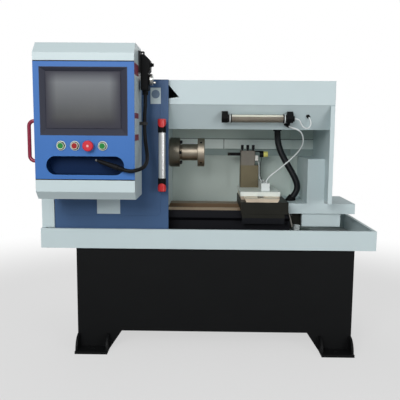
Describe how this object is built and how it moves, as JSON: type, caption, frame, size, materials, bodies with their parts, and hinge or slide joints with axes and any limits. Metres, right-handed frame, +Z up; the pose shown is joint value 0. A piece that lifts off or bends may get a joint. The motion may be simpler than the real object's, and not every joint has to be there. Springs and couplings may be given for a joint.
{
  "type": "wheel rim lathe",
  "caption": "Floor-standing wheel rim lathe with a hooded work zone, spindle adapter, tool slide, sliding guard door, swing-out control cabinet and hand pendant on a stand.",
  "frame": {"origin": "on the floor, under the middle of the machine's box", "axes": "+X along the bed to the tool end, +Y to the back, +Z up"},
  "size_m": [1.56, 0.975, 1.395],
  "materials": {
    "white_paint": "semi-gloss",
    "blue_paint": "semi-gloss",
    "black_paint": "satin",
    "dark_iron": "satin",
    "bed_iron": "ground",
    "steel": "machined",
    "dark_steel": "blackened",
    "black_plastic": "matte",
    "black_rubber": "matte",
    "white_plastic": "satin",
    "yellow_plastic": "gloss",
    "red_plastic": "gloss",
    "crimson_plastic": "gloss",
    "green_plastic": "gloss",
    "screen_glass": "gloss",
    "clear_glass": "gloss",
    "silver": "satin"
  },
  "bodies": {
    "machine": {"base_stand": "black_paint", "chip_tray": "white_paint", "bed": "bed_iron", "headstock_casting": "dark_iron", "bearings": "steel", "spindle_motor": "dark_iron", "drive_belt": "black_rubber", "left_end_panel": "white_paint", "headstock_cover": "white_paint", "spindle_partition": "white_paint", "guard_hood": "white_paint", "guard_back_panel": "white_paint", "guard_side_panel": "white_paint", "corner_box": "white_paint", "bed_end_cover": "white_paint", "z_servo_motor": "white_paint", "z_screw_mounts": "dark_iron", "lamp_brackets": "black_plastic", "door_bottom_rail": "steel", "cabinet_hinge_brackets": "black_paint", "conduit": "black_plastic", "cable_glands": "black_plastic", "probe_cable": "white_plastic", "lamp_cable": "white_plastic"},
    "spindle": {"spindle_shaft": "steel", "chuck_adapter": "steel"},
    "motor_rotor": {"motor_pulley": "dark_steel"},
    "z_screw": {"z_ballscrew": "steel"},
    "saddle": {"saddle": "black_paint", "x_servo_motor": "black_paint"},
    "x_screw": {"x_ballscrew": "steel"},
    "cross_slide": {"cross_slide": "bed_iron", "slide_plate": "white_paint", "tool_riser": "steel", "tool_holder": "dark_steel", "tool_clamp_screws": "dark_steel", "cutting_tool": "dark_steel", "touch_probe": "yellow_plastic", "wiring_duct": "white_plastic"},
    "lamp": {"lamp_tube": "clear_glass", "lamp_end_caps": "silver"},
    "door": {"door_panel": "blue_paint", "door_handle_tube": "white_plastic", "door_handle_ends": "red_plastic"},
    "cabinet": {"cabinet_shell": "white_paint", "cabinet_front": "blue_paint", "screen_bezel": "black_plastic", "screen_glass": "screen_glass", "slot_pocket": "blue_paint", "cabinet_grip": "crimson_plastic", "pendant_body": "black_plastic", "pendant_cord": "black_rubber", "cord_plug": "black_plastic"},
    "start_button": {"start_button": "green_plastic"},
    "stop_button": {"stop_button": "red_plastic"},
    "feed_button": {"feed_button": "green_plastic"},
    "estop_plunger": {"estop_stem": "silver"},
    "estop_head": {"estop_head": "red_plastic"},
    "selector_knob": {"selector_knob": "black_plastic"},
    "pendant_handwheel": {"pendant_handwheel": "silver"}
  },
  "joints": [
    {"name": "spindle_spin", "type": "hinge", "parent": "machine", "child": "spindle", "pos_m": [-0.196, 0.0935, 0.931], "axis": [1, 0, 0], "continuous": true},
    {"name": "motor_spin", "type": "hinge", "parent": "machine", "child": "motor_rotor", "pos_m": [-0.64, 0.0935, 1.15], "axis": [1, 0, 0], "continuous": true},
    {"name": "saddle_slide", "type": "slide", "parent": "machine", "child": "saddle", "axis": [-1, 0, 0], "range_m": [0, 0.28], "deforming": ["probe_cable"]},
    {"name": "z_screw_spin", "type": "hinge", "parent": "machine", "child": "z_screw", "pos_m": [0.398, 0.0935, 0.597], "axis": [1, 0, 0], "continuous": true},
    {"name": "cross_slide_travel", "type": "slide", "parent": "saddle", "child": "cross_slide", "axis": [0, 1, 0], "range_m": [-0.14, 0.04], "deforming": ["probe_cable"]},
    {"name": "x_screw_spin", "type": "hinge", "parent": "saddle", "child": "x_screw", "pos_m": [0.256, 0.2925, 0.6785], "axis": [0, 1, 0], "continuous": true},
    {"name": "lamp_tilt", "type": "hinge", "parent": "machine", "child": "lamp", "pos_m": [0.223, -0.12657, 1.09858], "axis": [1, 0, 0], "range_deg": [-60, 60]},
    {"name": "door_slide", "type": "slide", "parent": "machine", "child": "door", "axis": [1, 0, 0], "range_m": [0, 0.48]},
    {"name": "cabinet_swing", "type": "hinge", "parent": "machine", "child": "cabinet", "pos_m": [-0.752, -0.2035, 0.917], "axis": [0, 0, -1], "range_deg": [0, 85]},
    {"name": "start_press", "type": "slide", "parent": "cabinet", "child": "start_button", "axis": [0, 1, 0], "range_m": [0, 0.004], "stiffness_N_per_m": 400},
    {"name": "stop_press", "type": "slide", "parent": "cabinet", "child": "stop_button", "axis": [0, 1, 0], "range_m": [0, 0.004], "stiffness_N_per_m": 400},
    {"name": "feed_press", "type": "slide", "parent": "cabinet", "child": "feed_button", "axis": [0, 1, 0], "range_m": [0, 0.004], "stiffness_N_per_m": 400},
    {"name": "estop_press", "type": "slide", "parent": "cabinet", "child": "estop_plunger", "axis": [0, 1, 0], "range_m": [0, 0.004], "stiffness_N_per_m": 400},
    {"name": "estop_twist", "type": "hinge", "parent": "estop_plunger", "child": "estop_head", "pos_m": [-0.493, -0.4575, 0.976], "axis": [0, 1, 0], "range_deg": [0, 45], "stiffness_Nm_per_rad": 0.05},
    {"name": "selector_turn", "type": "hinge", "parent": "cabinet", "child": "selector_knob", "pos_m": [-0.255, -0.2895, 1.32028], "axis": [1, 0, 0], "range_deg": [-60, 60]},
    {"name": "handwheel_spin", "type": "hinge", "parent": "cabinet", "child": "pendant_handwheel", "pos_m": [-0.255, -0.2895, 1.2577], "axis": [1, 0, 0], "continuous": true}
  ],
  "couplings": [
    {"joint": "motor_spin", "follows": "spindle_spin", "ratio": 1.7708},
    {"joint": "z_screw_spin", "follows": "saddle_slide", "rad_per_m": -1256.6},
    {"joint": "x_screw_spin", "follows": "cross_slide_travel", "rad_per_m": 1256.6}
  ]
}
